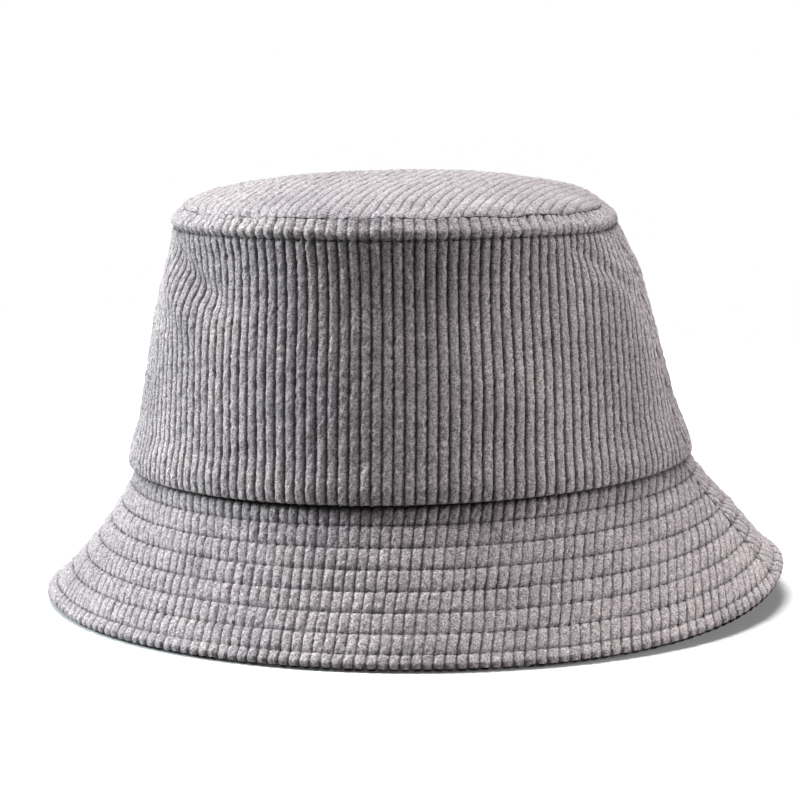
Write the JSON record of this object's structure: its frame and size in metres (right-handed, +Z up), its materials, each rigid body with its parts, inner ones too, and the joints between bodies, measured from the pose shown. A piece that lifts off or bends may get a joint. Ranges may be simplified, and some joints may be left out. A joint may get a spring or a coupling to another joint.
{
  "type": "bucket hat",
  "caption": "Soft bucket hat in wide-wale corduroy with an oval tip, two-part crown and a down-sloping brim with concentric stitch rows.",
  "frame": {"origin": "on the floor under the middle of the brim, where the hat stands", "axes": "+Z up through the crown, front of the hat at -Y, side seams at +X and -X"},
  "size_m": [0.259, 0.267, 0.1463],
  "materials": {
    "corduroy": "cut-pile cotton corduroy, matt with a soft sheen",
    "interlining": "stiff woven interlining",
    "lining": "plain thin lining cloth",
    "sweatband": "twill tape",
    "thread": "spun polyester sewing thread"
  },
  "bodies": {
    "root": {"crown_top": "corduroy", "crown_front": "corduroy", "crown_back": "corduroy", "brim_top_front": "corduroy", "brim_top_back": "corduroy", "brim_under_front": "corduroy", "brim_under_back": "corduroy", "brim_interlining_front": "interlining", "brim_interlining_back": "interlining", "lining_top": "lining", "lining_front": "lining", "lining_back": "lining", "sweatband": "sweatband", "sweatband_stitch": "thread", "crown_topstitch": "thread", "brim_stitch_row_1": "thread", "brim_stitch_row_2": "thread", "brim_stitch_row_3": "thread", "brim_stitch_row_4": "thread", "brim_stitch_row_5": "thread", "brim_stitch_row_6": "thread", "brim_stitch_row_7": "thread"}
  },
  "joints": []
}
